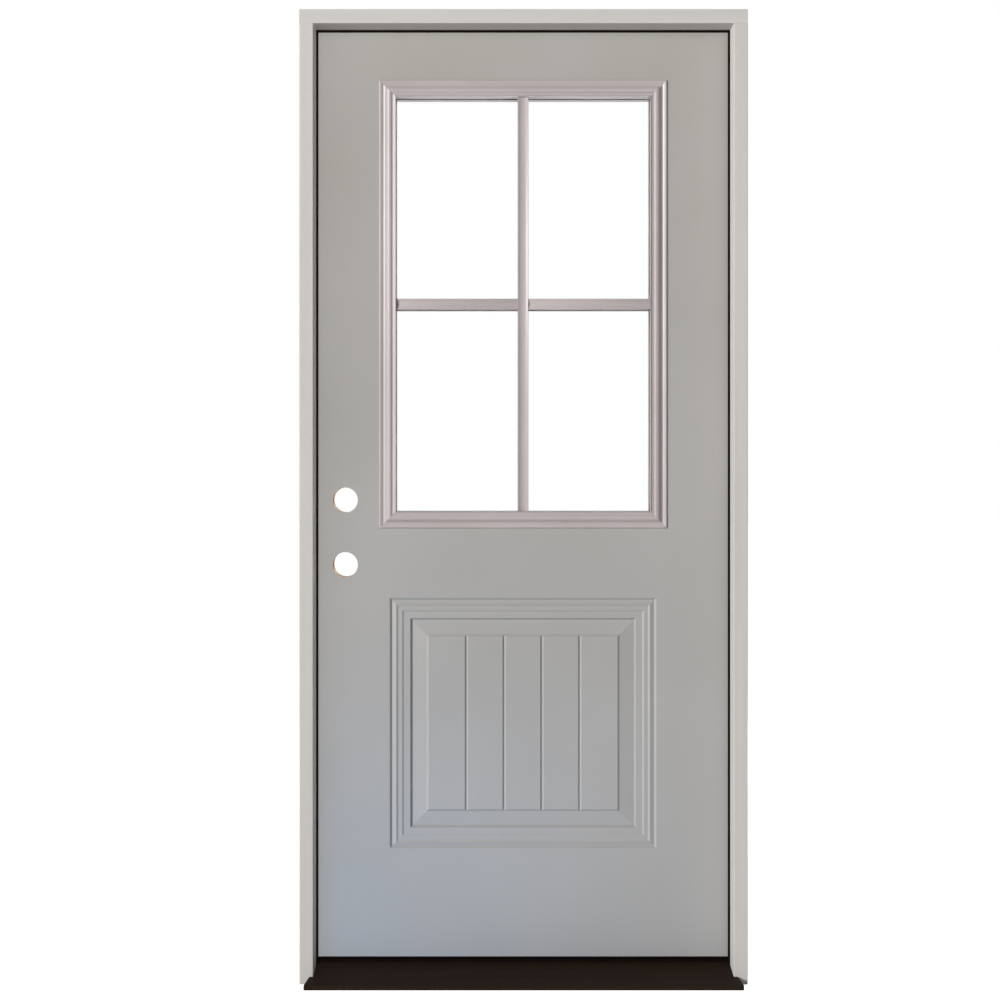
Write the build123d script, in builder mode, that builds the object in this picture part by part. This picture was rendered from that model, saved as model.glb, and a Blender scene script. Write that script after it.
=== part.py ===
from build123d import *
import os

# A steel front door hung in its frame, seen from outside: X runs to the right, Y into the house
# and Z up. Y is zero at the outer face of the jambs and Z is zero under the sill.
# All sizes are in millimetres.

# Frame of rabbeted jambs
frame_width = 952.5
frame_height = 2070.0
jamb_depth = 115.9
jamb_thickness = 30.0
rabbet_depth = 12.7
jamb_edge_round = 2.0
kerf_width = 3.0
kerf_depth = 9.0
kerf_inset = 1.5

# Weatherstrip in the corner between stop and door
seal_space = 8.0
seal_overhang = 4.5
seal_touch_gap = 0.4
seal_corner_gap = 1.0
seal_nose_round = 2.6
seal_fin_clearance = 0.3

# Sill: sloped metal deck on a solid base, with a raised cap under the door
nosing_projection = 45.0
nosing_height = 10.5
nosing_round = 2.5
nosing_width = 925.0
nosing_end_taper = 8.0
deck_height_at_door = 26.5
deck_wall = 2.2
deck_run_under_door = 6.0
cap_width = 30.0
cap_height = 14.0
cap_top_z = 36.0
cap_edge_round = 2.5

# Door slab
slab_gap = 5.0
slab_thickness = 44.45
skin_thickness = 0.7
skin_return = 5.5
stile_width = 41.3
top_rail_height = 41.3
bottom_rail_height = 50.0

# Sweep under the slab
sweep_space = 5.2
sweep_plate = 1.6
sweep_inset = 1.2
sweep_fin = 2.0
sweep_fin_count = 4
sweep_touch_gap = 0.5

# Lite: glazed opening with a mitred frame on each face, its moulding six arcs through these points
lite_side_margin = 143.0
lite_top_margin = 114.4
middle_rail_height = 150.4
lite_lip = 17.0
lite_bar_width = 36.5
lite_fit_gap = 1.0
lite_moulding = [(0.0, 1.4), (0.9, 3.0), (2.4, 3.8), (6.0, 2.6), (9.2, 1.0), (13.0, 2.6), (15.8, 5.3),
                 (18.8, 7.9), (22.6, 9.0), (26.0, 8.6), (28.6, 6.8), (33.5, 8.2), (lite_bar_width, 10.6)]
glass_thickness = 3.2
glass_unit_thickness = 25.4
glass_cover = 9.0
spacer_width = 6.5
muntin_width = 23.0
muntin_rise = 7.0
muntin_scoop = 2.8
muntin_edge = 1.2

# Embossed lower panel: inset from its edge and depth below the skin, then the plank field
panel_side_margin = 166.0
panel_base_height = 233.3
panel_height = 541.0
panel_steps = [(0.0, 0.0), (5.0, -4.0), (14.0, -1.0), (18.5, -3.2), (26.5, -2.7), (30.5, -4.7),
               (44.0, -4.2), (48.0, -9.2), (79.5, -4.6), (84.0, -1.5)]
plank_count = 5
groove_width = 7.5
groove_depth = 3.0

# Lock preparation
backset = 69.85
bore_diameter = 54.0
edge_bore_diameter = 25.4
lockset_height = 845.8
bolt_spacing = 139.7
lock_block_width = 80.0
lock_block_margin = 80.0
faceplate_height = 57.15
faceplate_width = 25.4
faceplate_depth = 3.2
faceplate_round = 6.0
strike_width = 28.6
strike_depth = 1.6
strike_hole_diameter = 22.2

# Butt hinges
hinge_height = 101.6
hinge_top_margin = 177.8
hinge_bottom_margin = 279.4
leaf_thickness = 2.5
leaf_backset = 6.5
leaf_corner = 15.9
leaf_mortise_gap = 0.2
barrel_radius = 6.35
barrel_offset = 7.5
knuckle_count = 3
knuckle_gap = 0.3
pin_radius = 3.2
pin_clearance = 0.08
pin_head_radius = 5.2
pin_head_height = 2.4
pin_tip = 2.0

# Places that follow from the sizes above
half_width = frame_width / 2
stop_x = half_width - jamb_thickness
rabbet_x = stop_x + rabbet_depth
slab_edge_x = rabbet_x - slab_gap
slab_width = 2 * slab_edge_x
slab_front_y = jamb_depth - slab_thickness
slab_middle_y = jamb_depth - slab_thickness / 2
stop_back_y = slab_front_y - seal_space
head_stop_z = frame_height - jamb_thickness
head_rabbet_z = head_stop_z + rabbet_depth
slab_top_z = head_rabbet_z - slab_gap
slab_bottom_z = cap_top_z + sweep_space
slab_height = slab_top_z - slab_bottom_z
slab_middle_z = slab_bottom_z + slab_height / 2
core_thickness = slab_thickness - 2 * skin_thickness
core_front_y = slab_front_y + skin_thickness
core_edge_x = slab_edge_x - stile_width

panel_width = slab_width - 2 * panel_side_margin
panel_bottom_z = slab_bottom_z + panel_base_height
panel_top_z = panel_bottom_z + panel_height
panel_middle_z = panel_bottom_z + panel_height / 2
field_inset = panel_steps[-1][0]
field_depth = -panel_steps[-1][1]
field_width = panel_width - 2 * field_inset
field_height = panel_height - 2 * field_inset

lite_width = slab_width - 2 * lite_side_margin
lite_top_z = slab_top_z - lite_top_margin
lite_bottom_z = panel_top_z + middle_rail_height
lite_height = lite_top_z - lite_bottom_z
lite_middle_z = lite_bottom_z + lite_height / 2
cutout_width = lite_width - 2 * (lite_lip - lite_fit_gap)
cutout_height = lite_height - 2 * (lite_lip - lite_fit_gap)
sight_width = lite_width - 2 * lite_bar_width
sight_height = lite_height - 2 * lite_bar_width
glass_width = sight_width + 2 * glass_cover
glass_height = sight_height + 2 * glass_cover
glass_recess = (slab_thickness - glass_unit_thickness) / 2
glass_front_y = slab_front_y + glass_recess
spacer_depth = glass_unit_thickness - 2 * glass_thickness

bore_x = backset - slab_edge_x
bore_heights = [slab_bottom_z + lockset_height, slab_bottom_z + lockset_height + bolt_spacing]
lock_block_x = stile_width - slab_edge_x

pin_x = rabbet_x - slab_gap / 2
pin_y = jamb_depth + barrel_offset
leaf_far_y = slab_front_y + leaf_backset
leaf_width = jamb_depth - leaf_far_y
knuckle_height = (hinge_height - (knuckle_count - 1) * knuckle_gap) / knuckle_count
knuckle_pitch = knuckle_height + knuckle_gap
top_hinge_z = slab_top_z - hinge_top_margin - hinge_height / 2
bottom_hinge_z = slab_bottom_z + hinge_bottom_margin + hinge_height / 2
hinge_heights = {"top": top_hinge_z, "middle": (top_hinge_z + bottom_hinge_z) / 2, "bottom": bottom_hinge_z}

outer_face = Plane(origin=(0, slab_front_y, 0), x_dir=(1, 0, 0), z_dir=(0, -1, 0))
core_face = Plane(origin=(0, core_front_y, 0), x_dir=(1, 0, 0), z_dir=(0, -1, 0))
glass_face = Plane(origin=(0, glass_front_y, 0), x_dir=(1, 0, 0), z_dir=(0, -1, 0))
slab_middle = Plane(origin=(0, slab_middle_y, 0), x_dir=(1, 0, 0), z_dir=(0, -1, 0))
hinge_rabbet = Plane(origin=(rabbet_x, 0, 0), x_dir=(0, 1, 0), z_dir=(1, 0, 0))
pin_plane = Plane(origin=(pin_x, 0, 0), x_dir=(0, 1, 0), z_dir=(1, 0, 0))
strike_rabbet = Plane(origin=(-rabbet_x, 0, 0), x_dir=(0, 1, 0), z_dir=(1, 0, 0))
lock_edge = Plane(origin=(-slab_edge_x, 0, 0), x_dir=(0, 1, 0), z_dir=(1, 0, 0))

os.makedirs("parts", exist_ok=True)


def save(part, name):
    """Name a finished piece and write it to its own file."""
    part.label = name
    export_step(part, f"parts/{name}.step")


def mitred_side(section, middle, half_length, inward, outward):
    """One side of a rectangular moulding. The section is a closed wire drawn inward and outward
    from the middle of the outer edge, and both ends are cut to the mitre."""
    along = inward.cross(outward)
    with BuildPart() as side:
        with BuildSketch(Plane(origin=middle, x_dir=inward, z_dir=along)):
            with BuildLine():
                add(section)
            make_face()
        extrude(amount=half_length, both=True)
        for end in (along, -along):
            mitre = Plane(origin=middle + end * half_length, z_dir=end + inward)
            split(bisect_by=mitre, keep=Keep.BOTTOM)
    return side.part


def four_sides(section, width, height, middle_z):
    """The four mitred sides of a moulding on the outer face of the slab, by the side they lie on."""
    outward = Vector(0, -1, 0)
    places = {
        "top": (Vector(0, slab_front_y, middle_z + height / 2), width / 2, Vector(0, 0, -1)),
        "bottom": (Vector(0, slab_front_y, middle_z - height / 2), width / 2, Vector(0, 0, 1)),
        "lock_side": (Vector(-width / 2, slab_front_y, middle_z), height / 2, Vector(1, 0, 0)),
        "hinge_side": (Vector(width / 2, slab_front_y, middle_z), height / 2, Vector(-1, 0, 0)),
    }
    return {name: mitred_side(section, middle, length, inward, outward)
            for name, (middle, length, inward) in places.items()}


def leaf_outline(height, width, corner):
    """Outline of a hinge leaf or its mortise: square at the barrel, rounded at the far edge."""
    with BuildSketch() as outline:
        Rectangle(width, height, align=(Align.MAX, Align.CENTER))
        fillet(outline.vertices().group_by(Axis.X)[0], radius=corner)
    return outline.sketch


# Jamb legs, drawn on the hinge side
with BuildPart() as leg:
    with BuildSketch() as leg_plan:
        with BuildLine():
            Polyline((stop_x, 0), (half_width, 0), (half_width, jamb_depth), (rabbet_x, jamb_depth),
                     (rabbet_x, stop_back_y), (stop_x, stop_back_y), close=True)
        make_face()
        fillet(leg_plan.vertices().group_by(Axis.Y)[0], radius=jamb_edge_round)
        with Locations((rabbet_x - kerf_inset, stop_back_y)):
            Rectangle(kerf_width, kerf_depth, align=(Align.MAX, Align.MAX), mode=Mode.SUBTRACT)
    extrude(amount=head_rabbet_z)
    with BuildSketch(Plane.XY.offset(head_stop_z)):
        with Locations((stop_x, 0)):
            Rectangle(jamb_thickness, stop_back_y, align=(Align.MIN, Align.MIN))
    extrude(amount=rabbet_depth, mode=Mode.SUBTRACT)

with BuildPart() as hinge_jamb:
    add(leg.part)
    for height in hinge_heights.values():
        with BuildSketch(hinge_rabbet):
            with Locations((jamb_depth, height)):
                add(leaf_outline(hinge_height + 2 * leaf_mortise_gap, leaf_width + leaf_mortise_gap,
                                 leaf_corner + leaf_mortise_gap))
        extrude(amount=leaf_thickness, mode=Mode.SUBTRACT)
save(hinge_jamb.part, "hinge_jamb")

with BuildPart() as strike_jamb:
    mirror(leg.part, about=Plane.YZ)
    for height in bore_heights:
        with BuildSketch(strike_rabbet):
            with Locations((slab_middle_y, height)):
                RectangleRounded(strike_width, faceplate_height, faceplate_round)
        extrude(amount=-strike_depth, mode=Mode.SUBTRACT)
        with BuildSketch(strike_rabbet):
            with Locations((slab_middle_y, height)):
                Circle(strike_hole_diameter / 2)
        extrude(amount=-jamb_thickness, mode=Mode.SUBTRACT)
save(strike_jamb.part, "strike_jamb")

with BuildPart() as head_jamb:
    with BuildSketch(Plane.YZ) as head_section:
        with BuildLine():
            Polyline((0, head_stop_z), (stop_back_y, head_stop_z), (stop_back_y, head_rabbet_z),
                     (jamb_depth, head_rabbet_z), (jamb_depth, frame_height), (0, frame_height), close=True)
        make_face()
        with Locations((stop_back_y, head_rabbet_z - kerf_inset)):
            Rectangle(kerf_depth, kerf_width, align=(Align.MAX, Align.MAX), mode=Mode.SUBTRACT)
    extrude(amount=half_width, both=True)
save(head_jamb.part, "head_jamb")

# Weatherstrips: a soft bulb on the stop with a fin in its kerf
seal_width = rabbet_depth - seal_corner_gap + seal_overhang
seal_depth = seal_space - seal_touch_gap
seal_fin = kerf_width - 2 * seal_fin_clearance


def seal_section(corner):
    """Section of a weatherstrip, measured away from the rabbet corner and towards the door."""
    with BuildSketch() as section:
        with Locations(corner):
            with Locations((-seal_corner_gap, 0)):
                Rectangle(seal_width, seal_depth, align=(Align.MAX, Align.MIN))
            with Locations((-kerf_inset - seal_fin_clearance, 0)):
                Rectangle(seal_fin, kerf_depth - seal_fin_clearance, align=(Align.MAX, Align.MAX))
        fillet(section.vertices().group_by(Axis.X)[0], radius=seal_nose_round)
    return section.sketch


head_seal_bottom_z = head_rabbet_z - seal_corner_gap - seal_width
with BuildPart() as hinge_weatherstrip:
    with BuildSketch(Plane.XY.offset(deck_height_at_door)):
        add(seal_section((rabbet_x, stop_back_y)))
    extrude(amount=head_seal_bottom_z - deck_height_at_door)
save(hinge_weatherstrip.part, "hinge_weatherstrip")

with BuildPart() as strike_weatherstrip:
    mirror(hinge_weatherstrip.part, about=Plane.YZ)
save(strike_weatherstrip.part, "strike_weatherstrip")

head_seal_plane = Plane(origin=(0, 0, head_rabbet_z), x_dir=(0, 0, 1), z_dir=(-1, 0, 0))
with BuildPart() as head_weatherstrip:
    with BuildSketch(head_seal_plane):
        add(seal_section((0, stop_back_y)))
    extrude(amount=rabbet_x - seal_corner_gap, both=True)
save(head_weatherstrip.part, "head_weatherstrip")

# Sill: the plan outline narrows between the jambs and ends in ears in front of them
sill_front_y = -nosing_projection
deck_rear_y = slab_front_y + deck_run_under_door
deck_slope = (deck_height_at_door - nosing_height) / (slab_front_y - sill_front_y)
deck_rear_z = deck_height_at_door + deck_slope * deck_run_under_door
cap_seat_z = cap_top_z - cap_height
ear_x = nosing_width / 2


def sill_plan(rear_y):
    """Plan of a sill layer, from the tip of the nosing back to the given depth."""
    right = [(ear_x, sill_front_y), (ear_x - nosing_end_taper, 0), (stop_x, 0), (stop_x, stop_back_y),
             (rabbet_x, stop_back_y), (rabbet_x, rear_y)]
    left = [(-x, y) for x, y in reversed(right)]
    with BuildSketch() as plan:
        with BuildLine():
            Polyline(*right, *left, close=True)
        make_face()
    return plan.sketch


with BuildPart() as sill_deck:
    with BuildSketch(Plane.YZ) as deck_section:
        with BuildLine():
            Polyline((sill_front_y, 0), (sill_front_y, nosing_height), (deck_rear_y, deck_rear_z),
                     (deck_rear_y, cap_seat_z), (deck_rear_y - deck_wall, cap_seat_z),
                     (deck_rear_y - deck_wall, deck_rear_z - deck_wall - deck_slope * deck_wall),
                     (sill_front_y + deck_wall, nosing_height - deck_wall + deck_slope * deck_wall),
                     (sill_front_y + deck_wall, 0), close=True)
        make_face()
        fillet(deck_section.vertices().group_by(Axis.X)[0].sort_by(Axis.Y)[-1], radius=nosing_round)
    extrude(amount=half_width, both=True)
    with BuildSketch():
        add(sill_plan(jamb_depth))
    extrude(amount=frame_height, mode=Mode.INTERSECT)
save(sill_deck.part, "sill_deck")

with BuildPart() as sill_base:
    with BuildSketch(Plane.YZ):
        with BuildLine():
            Polyline((sill_front_y + deck_wall, 0),
                     (sill_front_y + deck_wall, nosing_height - deck_wall + deck_slope * deck_wall),
                     (deck_rear_y - deck_wall, deck_rear_z - deck_wall - deck_slope * deck_wall),
                     (deck_rear_y - deck_wall, cap_seat_z), (jamb_depth, cap_seat_z), (jamb_depth, 0),
                     close=True)
        make_face()
    extrude(amount=half_width, both=True)
    with BuildSketch():
        add(sill_plan(jamb_depth))
    extrude(amount=frame_height, mode=Mode.INTERSECT)
save(sill_base.part, "sill_base")

with BuildPart() as sill_cap:
    with BuildSketch(Plane.YZ) as cap_section:
        with Locations((deck_rear_y, cap_seat_z)):
            Rectangle(cap_width, cap_height, align=(Align.MIN, Align.MIN))
        fillet(cap_section.vertices().group_by(Axis.Y)[-1], radius=cap_edge_round)
    extrude(amount=rabbet_x, both=True)
save(sill_cap.part, "sill_cap")

# Tool for the embossed panel: everything between the skin's plane and the pressed surface
with BuildPart() as recess:
    with BuildLine(mode=Mode.PRIVATE) as panel_profile:
        Polyline(*panel_steps, (field_inset, 0), close=True)
    for side in four_sides(panel_profile.wire(), panel_width, panel_height, panel_middle_z).values():
        add(side)
    with BuildSketch(outer_face):
        with Locations((0, panel_middle_z)):
            Rectangle(field_width, field_height)
    extrude(amount=-field_depth)
    field_y = slab_front_y + field_depth
    with BuildSketch(Plane.XY.offset(panel_middle_z - field_height / 2 - field_inset / 4)):
        for groove in range(1, plank_count):
            groove_x = field_width * (groove / plank_count - 1 / 2)
            with BuildLine():
                Polyline((groove_x - groove_width / 2, field_y), (groove_x, field_y + groove_depth),
                         (groove_x + groove_width / 2, field_y), close=True)
            make_face()
    extrude(amount=field_height + field_inset / 2)

pressed_back = recess.part.moved(Pos(0, skin_thickness, 0))

# Pressed skins, their long edges folded round the stiles
with BuildPart() as outer_skin:
    with BuildSketch(outer_face):
        with Locations((0, slab_middle_z)):
            Rectangle(slab_width, slab_height)
    extrude(amount=-skin_thickness)
    with BuildSketch(Plane.XY.offset(slab_bottom_z)):
        with Locations((-slab_edge_x, slab_front_y)):
            Rectangle(skin_thickness, skin_return, align=(Align.MIN, Align.MIN))
        with Locations((slab_edge_x, slab_front_y)):
            Rectangle(skin_thickness, skin_return, align=(Align.MAX, Align.MIN))
    extrude(amount=slab_height)
    add(pressed_back)
    add(recess.part, mode=Mode.SUBTRACT)
    with BuildSketch(outer_face):
        with Locations((0, lite_middle_z)):
            Rectangle(cutout_width, cutout_height)
        with Locations(*[(bore_x, height) for height in bore_heights]):
            Circle(bore_diameter / 2)
    extrude(amount=-skin_thickness, mode=Mode.SUBTRACT)
save(outer_skin.part, "outer_skin")

with BuildPart() as inner_skin:
    mirror(outer_skin.part, about=slab_middle)
    for height in hinge_heights.values():
        with BuildSketch(Plane(origin=(slab_edge_x, 0, 0), x_dir=(0, 1, 0), z_dir=(1, 0, 0))):
            with Locations((jamb_depth, height)):
                Rectangle(skin_return, hinge_height + 2 * leaf_mortise_gap, align=(Align.MAX, Align.CENTER))
        extrude(amount=-leaf_thickness, mode=Mode.SUBTRACT)
save(inner_skin.part, "inner_skin")

# Stiles, rails and lock block inside the slab
with BuildPart() as stile:
    with BuildSketch(Plane.XY.offset(slab_bottom_z)):
        with Locations((slab_edge_x, core_front_y)):
            Rectangle(stile_width, core_thickness, align=(Align.MAX, Align.MIN))
        for corner_y in (slab_front_y, jamb_depth - skin_return):
            with Locations((slab_edge_x, corner_y)):
                Rectangle(skin_thickness, skin_return, align=(Align.MAX, Align.MIN), mode=Mode.SUBTRACT)
    extrude(amount=slab_height)

with BuildPart() as hinge_stile:
    add(stile.part)
    for height in hinge_heights.values():
        with BuildSketch(Plane(origin=(slab_edge_x, 0, 0), x_dir=(0, 1, 0), z_dir=(1, 0, 0))):
            with Locations((jamb_depth, height)):
                add(leaf_outline(hinge_height + 2 * leaf_mortise_gap, leaf_width + leaf_mortise_gap,
                                 leaf_corner + leaf_mortise_gap))
        extrude(amount=-leaf_thickness, mode=Mode.SUBTRACT)
save(hinge_stile.part, "hinge_stile")

with BuildPart() as lock_stile:
    mirror(stile.part, about=Plane.YZ)
    for height in bore_heights:
        with BuildSketch(lock_edge):
            with Locations((slab_middle_y, height)):
                RectangleRounded(faceplate_width, faceplate_height, faceplate_round)
        extrude(amount=faceplate_depth, mode=Mode.SUBTRACT)
        with BuildSketch(lock_edge):
            with Locations((slab_middle_y, height)):
                Circle(edge_bore_diameter / 2)
        extrude(amount=stile_width, mode=Mode.SUBTRACT)
save(lock_stile.part, "lock_stile")

rails = {"top_rail": (slab_top_z - top_rail_height, top_rail_height),
         "bottom_rail": (slab_bottom_z, bottom_rail_height)}
for name, (low_z, height) in rails.items():
    with BuildPart() as rail:
        with BuildSketch(core_face):
            with Locations((0, low_z)):
                Rectangle(2 * core_edge_x, height, align=(Align.CENTER, Align.MIN))
        extrude(amount=-core_thickness)
    save(rail.part, name)

lock_block_low_z = bore_heights[0] - lock_block_margin
lock_block_height = bolt_spacing + 2 * lock_block_margin
with BuildPart() as lock_block:
    with BuildSketch(core_face):
        with Locations((lock_block_x, lock_block_low_z)):
            Rectangle(lock_block_width, lock_block_height, align=(Align.MIN, Align.MIN))
        with Locations(*[(bore_x, height) for height in bore_heights]):
            Circle(bore_diameter / 2, mode=Mode.SUBTRACT)
    extrude(amount=-core_thickness)
    for height in bore_heights:
        with BuildSketch(lock_edge):
            with Locations((slab_middle_y, height)):
                Circle(edge_bore_diameter / 2)
        extrude(amount=backset, mode=Mode.SUBTRACT)
save(lock_block.part, "lock_block")

core_bottom_z = slab_bottom_z + bottom_rail_height
core_height = slab_height - bottom_rail_height - top_rail_height
with BuildPart() as foam_core:
    with BuildSketch(core_face):
        with Locations((0, core_bottom_z)):
            Rectangle(2 * core_edge_x, core_height, align=(Align.CENTER, Align.MIN))
        with Locations((0, lite_middle_z)):
            Rectangle(cutout_width, cutout_height, mode=Mode.SUBTRACT)
        with Locations((lock_block_x, lock_block_low_z)):
            Rectangle(lock_block_width, lock_block_height, align=(Align.MIN, Align.MIN), mode=Mode.SUBTRACT)
    extrude(amount=-core_thickness)
    add(pressed_back, mode=Mode.SUBTRACT)
    mirror(pressed_back, about=slab_middle, mode=Mode.SUBTRACT)
save(foam_core.part, "foam_core")

# Sweep under the slab, its fins just over the sill cap
with BuildPart() as door_sweep:
    sweep_depth = slab_thickness - 2 * sweep_inset
    fin_height = sweep_space - sweep_plate - sweep_touch_gap
    fin_pitch = (sweep_depth - sweep_fin) / (sweep_fin_count - 1)
    with BuildSketch(Plane.YZ):
        with Locations((slab_middle_y, slab_bottom_z)):
            Rectangle(sweep_depth, sweep_plate, align=(Align.CENTER, Align.MAX))
        with Locations((slab_middle_y, slab_bottom_z - sweep_plate - fin_height / 2)):
            with GridLocations(fin_pitch, 1, sweep_fin_count, 1):
                Rectangle(sweep_fin, fin_height)
    extrude(amount=slab_edge_x - sweep_inset, both=True)
save(door_sweep.part, "door_sweep")

# Lite frames: four mitred bars on each face
with BuildLine() as lite_profile:
    for first in range(0, len(lite_moulding) - 1, 2):
        ThreePointArc(*lite_moulding[first:first + 3])
    Polyline(lite_moulding[-1], (lite_bar_width, -glass_recess), (lite_lip, -glass_recess), (lite_lip, 0),
             (0, 0), lite_moulding[0])
for name, bar in four_sides(lite_profile.wire(), lite_width, lite_height, lite_middle_z).items():
    save(bar, f"outer_lite_{name}")
    with BuildPart() as inner_bar:
        mirror(bar, about=slab_middle)
    save(inner_bar.part, f"inner_lite_{name}")

# Sealed glass unit
with BuildPart() as outer_pane:
    with BuildSketch(glass_face):
        with Locations((0, lite_middle_z)):
            Rectangle(glass_width, glass_height)
    extrude(amount=-glass_thickness)
save(outer_pane.part, "outer_pane")

with BuildPart() as inner_pane:
    mirror(outer_pane.part, about=slab_middle)
save(inner_pane.part, "inner_pane")

with BuildPart() as glass_spacer:
    with BuildSketch(glass_face.offset(-glass_thickness)):
        with Locations((0, lite_middle_z)):
            Rectangle(glass_width, glass_height)
            Rectangle(glass_width - 2 * spacer_width, glass_height - 2 * spacer_width, mode=Mode.SUBTRACT)
    extrude(amount=-spacer_depth)
save(glass_spacer.part, "glass_spacer")

# Muntins with a scooped face: an upright and two cross bars butting into it
with BuildLine() as muntin_profile:
    rise = glass_recess + muntin_rise
    flat_x = muntin_width / 2 - muntin_edge
    Line((-muntin_width / 2, 0), (-muntin_width / 2, rise))
    Line((-muntin_width / 2, rise), (-flat_x, rise))
    ThreePointArc((-flat_x, rise), (0, rise - muntin_scoop), (flat_x, rise))
    Line((flat_x, rise), (muntin_width / 2, rise))
    Line((muntin_width / 2, rise), (muntin_width / 2, 0))
    Line((muntin_width / 2, 0), (-muntin_width / 2, 0))


def muntin(start, length, along, across):
    """A glazing bar on the outer pane, from a start point along a direction."""
    with BuildPart() as bar:
        with BuildSketch(Plane(origin=start, x_dir=across, z_dir=along)):
            with BuildLine():
                add(muntin_profile.wire())
            make_face()
        extrude(amount=length)
    return bar.part


cross_length = (sight_width - muntin_width) / 2
sight_left = Vector(-sight_width / 2, glass_front_y, lite_middle_z)
upright_right = Vector(muntin_width / 2, glass_front_y, lite_middle_z)
upright_foot = Vector(0, glass_front_y, lite_middle_z - sight_height / 2)
muntins = {
    "upright_muntin": muntin(upright_foot, sight_height, Vector(0, 0, 1), Vector(-1, 0, 0)),
    "lock_side_muntin": muntin(sight_left, cross_length, Vector(1, 0, 0), Vector(0, 0, 1)),
    "hinge_side_muntin": muntin(upright_right, cross_length, Vector(1, 0, 0), Vector(0, 0, 1)),
}
for name, bar in muntins.items():
    save(bar, f"outer_{name}")
    with BuildPart() as inner_bar:
        mirror(bar, about=slab_middle)
    save(inner_bar.part, f"inner_{name}")

# Butt hinges: leaves let in flush, knuckles taking turns round the pin


def hinge_leaf(middle_z, knuckles):
    """A leaf on the jamb side of the pin, with its share of the knuckles."""
    low_z = middle_z - hinge_height / 2
    with BuildPart() as leaf:
        with BuildSketch(hinge_rabbet):
            with Locations((jamb_depth, middle_z)):
                add(leaf_outline(hinge_height, leaf_width, leaf_corner))
        extrude(amount=leaf_thickness)
        for knuckle in knuckles:
            with BuildSketch(Plane.XY.offset(low_z + knuckle * knuckle_pitch)):
                with Locations((rabbet_x, pin_y)):
                    Rectangle(leaf_thickness, barrel_offset, align=(Align.MIN, Align.MAX))
                with Locations((pin_x, pin_y)):
                    Circle(barrel_radius)
                    Circle(pin_radius + pin_clearance, mode=Mode.SUBTRACT)
            extrude(amount=knuckle_height)
    return leaf.part


for name, height in hinge_heights.items():
    save(hinge_leaf(height, range(0, knuckle_count, 2)), f"{name}_hinge_jamb_leaf")
    with BuildPart() as door_leaf:
        mirror(hinge_leaf(height, range(1, knuckle_count, 2)), about=pin_plane)
    save(door_leaf.part, f"{name}_hinge_door_leaf")
    with BuildPart() as pin:
        with BuildSketch(Plane.XY.offset(height - hinge_height / 2 - pin_tip)):
            with Locations((pin_x, pin_y)):
                Circle(pin_radius)
        extrude(amount=hinge_height + pin_tip)
        with BuildSketch(Plane.XY.offset(height + hinge_height / 2)):
            with Locations((pin_x, pin_y)):
                Circle(pin_head_radius)
        extrude(amount=pin_head_height)
    save(pin.part, f"{name}_hinge_pin")
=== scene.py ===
# %% [markdown]
# # A steel front door in its frame
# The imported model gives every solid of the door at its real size, in metres: X to the right as seen
# from outside, Y into the house, Z up. This lesson dresses it for a studio picture. It adds what a
# plain solid lacks, such as rounded press lines, smooth mouldings, screws and finishes, and it never
# moves what the solids fix.

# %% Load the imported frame
import math

import bmesh
import bpy
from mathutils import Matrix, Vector


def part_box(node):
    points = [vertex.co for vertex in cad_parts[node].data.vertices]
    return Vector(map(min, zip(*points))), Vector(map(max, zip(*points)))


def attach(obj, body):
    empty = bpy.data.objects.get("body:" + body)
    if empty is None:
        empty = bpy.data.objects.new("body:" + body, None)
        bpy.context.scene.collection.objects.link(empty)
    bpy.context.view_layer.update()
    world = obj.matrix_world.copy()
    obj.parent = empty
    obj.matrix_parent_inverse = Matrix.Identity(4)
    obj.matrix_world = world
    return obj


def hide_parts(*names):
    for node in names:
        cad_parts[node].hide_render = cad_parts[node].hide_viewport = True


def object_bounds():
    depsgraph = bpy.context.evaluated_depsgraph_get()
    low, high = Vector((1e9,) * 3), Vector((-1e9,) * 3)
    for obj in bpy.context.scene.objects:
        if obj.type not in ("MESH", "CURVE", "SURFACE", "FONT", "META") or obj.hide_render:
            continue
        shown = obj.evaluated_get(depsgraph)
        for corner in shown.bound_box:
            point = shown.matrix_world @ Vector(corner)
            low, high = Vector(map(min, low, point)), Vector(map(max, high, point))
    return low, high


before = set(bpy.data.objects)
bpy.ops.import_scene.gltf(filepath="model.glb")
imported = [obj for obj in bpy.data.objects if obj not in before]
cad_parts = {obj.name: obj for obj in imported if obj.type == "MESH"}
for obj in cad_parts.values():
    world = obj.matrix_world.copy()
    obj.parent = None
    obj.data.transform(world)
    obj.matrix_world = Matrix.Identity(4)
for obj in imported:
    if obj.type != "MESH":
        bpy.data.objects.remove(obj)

cad_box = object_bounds()
print("solids:", len(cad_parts), "size:", [round(side, 4) for side in cad_box[1] - cad_box[0]])

# %% [markdown]
# ## The camera
# The photo looks at the door level and almost straight on, from a little left of the middle and from
# chest height. A level camera keeps the uprights parallel. The picture is framed lower than the
# camera looks, so the lens is shifted, as an architect's camera is, in place of tilting it.

# %% Camera
camera_place = Vector((-0.0499, -3.982, 1.1065))
camera_data = bpy.data.cameras.new("studio_camera")
camera_data.lens = 67.56
camera_data.sensor_width = 36.0
camera_data.shift_y = -0.0369
camera = bpy.data.objects.new("studio_camera", camera_data)
camera.location = camera_place
camera.rotation_euler = (math.radians(90), 0, 0)
bpy.context.scene.collection.objects.link(camera)
bpy.context.scene.camera = camera
bpy.context.scene.view_settings.view_transform = "Standard"
print("camera at", tuple(round(value, 3) for value in camera_place))

# %% [markdown]
# ## Tools of the bench
# Modelling by script goes wrong most often through a stray selection, because every operator acts on
# whatever is selected. So three small helpers do what a hand does before each move: let go of
# everything, open one piece in edit mode, and pick its points or faces by where they are.


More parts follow.
